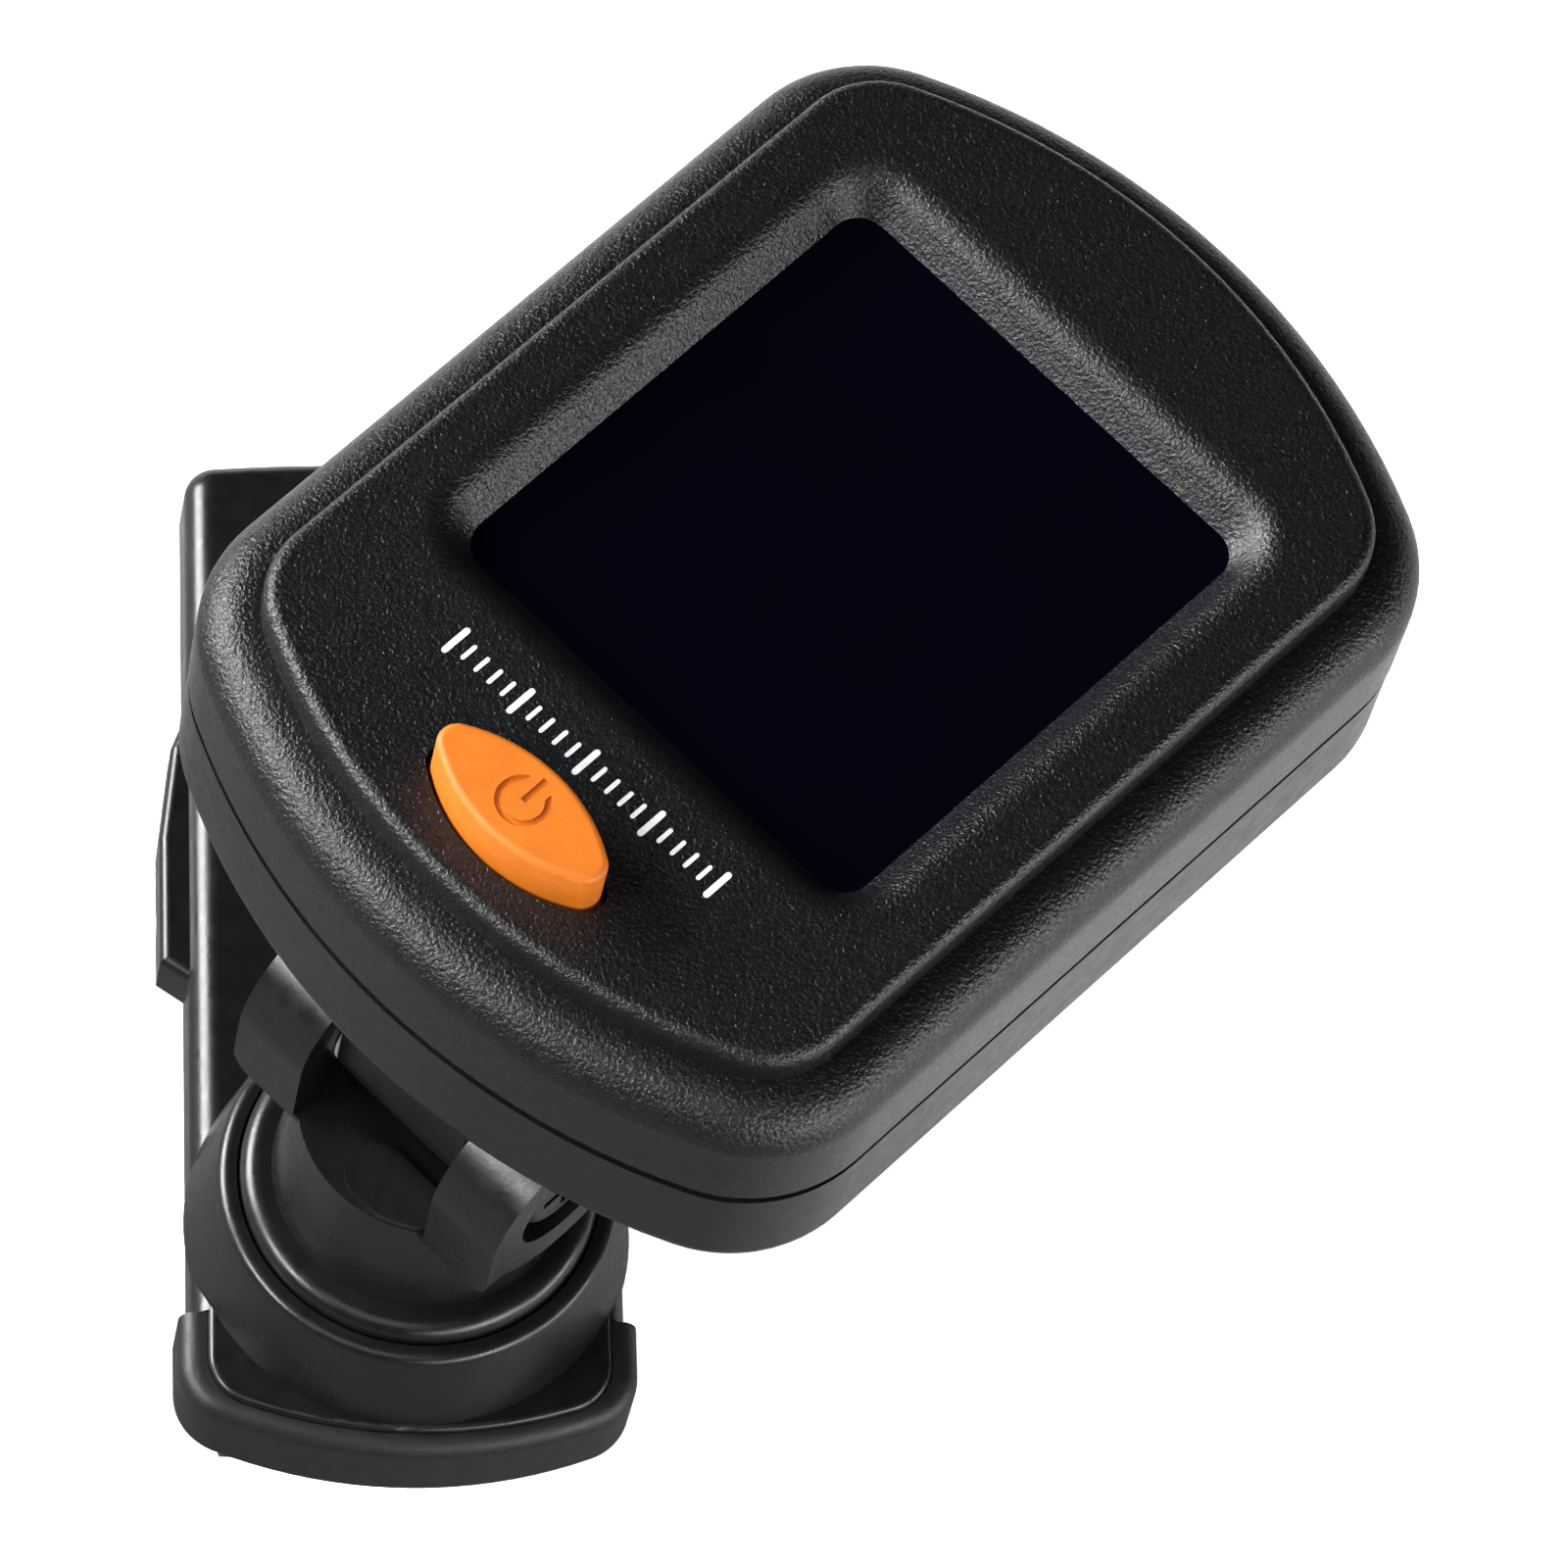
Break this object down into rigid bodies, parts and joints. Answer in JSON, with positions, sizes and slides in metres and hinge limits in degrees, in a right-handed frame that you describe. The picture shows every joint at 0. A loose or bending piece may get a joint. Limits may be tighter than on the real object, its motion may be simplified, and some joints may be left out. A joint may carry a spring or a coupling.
{
  "type": "clip-on tuner",
  "caption": "Clip-on instrument tuner: rounded head with a display window and one orange power button, on a tilting clevis and turntable, carried by a sprung clip with rubber pads.",
  "frame": {"origin": "middle of the grip, half way between the two closed rubber pads, below the front part of the turntable", "axes": "+Z from the lower jaw to the upper jaw, +Y from the nose to the finger tabs, +X across the clip to complete a right-handed frame"},
  "size_m": [0.0569, 0.0566, 0.0622],
  "materials": {
    "case_plastic": "fine moulded grain on the front, satin on the sides",
    "clip_plastic": "satin moulded black",
    "button_plastic": "matte orange",
    "window": "polished, smoked",
    "lcd_glass": "satin glass",
    "light_guide": "white light guide",
    "silicone": "soft striped strip",
    "laminate": "green solder mask",
    "epoxy": "black potting",
    "switch_plastic": "moulded",
    "cell_metal": "satin plated can",
    "contact_steel": "plated spring leaf",
    "piezo_brass": "plain brass with a white ceramic disc",
    "screw_steel": "dark plated",
    "spring_steel": "bright drawn",
    "pin_steel": "ground",
    "washer_nylon": "natural nylon",
    "pad_rubber": "matte soft rubber"
  },
  "bodies": {
    "upper_clip": {"upper_lever": "clip_plastic", "upper_pad": "pad_rubber", "clip_pin": "pin_steel"},
    "lower_clip": {"lower_lever": "clip_plastic", "lower_pad": "pad_rubber", "torsion_spring": "spring_steel"},
    "swivel": {"turntable": "clip_plastic", "tilt_screw": "screw_steel", "tilt_nut": "screw_steel", "tilt_washers": "washer_nylon", "wave_washer": "spring_steel", "retaining_washer": "spring_steel", "swivel_screw": "screw_steel"},
    "head": {"front_shell": "case_plastic", "rear_shell": "case_plastic", "display_window": "window", "lcd_module": "lcd_glass", "backlight_panel": "light_guide", "zebra_connector": "silicone", "circuit_board": "laminate", "controller_chip": "epoxy", "tact_switch": "switch_plastic", "battery_cell": "cell_metal", "battery_contact_minus": "contact_steel", "battery_contact_plus": "contact_steel", "piezo_disc": "piezo_brass", "case_screws": "screw_steel"},
    "button": {"power_button": "button_plastic"},
    "door": {"battery_door": "case_plastic"}
  },
  "joints": [
    {"name": "clip_open", "type": "hinge", "parent": "upper_clip", "child": "lower_clip", "pos_m": [0, 0.0225, 0], "axis": [1, 0, 0], "range_deg": [0, 24], "stiffness_Nm_per_rad": 0.25, "springref_deg": -34.38, "deforming": ["torsion_spring"]},
    {"name": "turntable_swivel", "type": "hinge", "parent": "upper_clip", "child": "swivel", "pos_m": [0, 0.005, 0.00995], "axis": [0, 0, 1], "continuous": true},
    {"name": "head_tilt", "type": "hinge", "parent": "swivel", "child": "head", "pos_m": [0, 0.005, 0.0221], "axis": [0.6947, -0.7193, 0], "range_deg": [-25, 55]},
    {"name": "power_press", "type": "slide", "parent": "head", "child": "button", "axis": [0, 0, -1], "range_m": [0, 0.0006], "stiffness_N_per_m": 800, "springref_m": -0.0006},
    {"name": "battery_door_slide", "type": "slide", "parent": "head", "child": "door", "axis": [0.7193, 0.6947, 0], "range_m": [0, 0.03]}
  ]
}
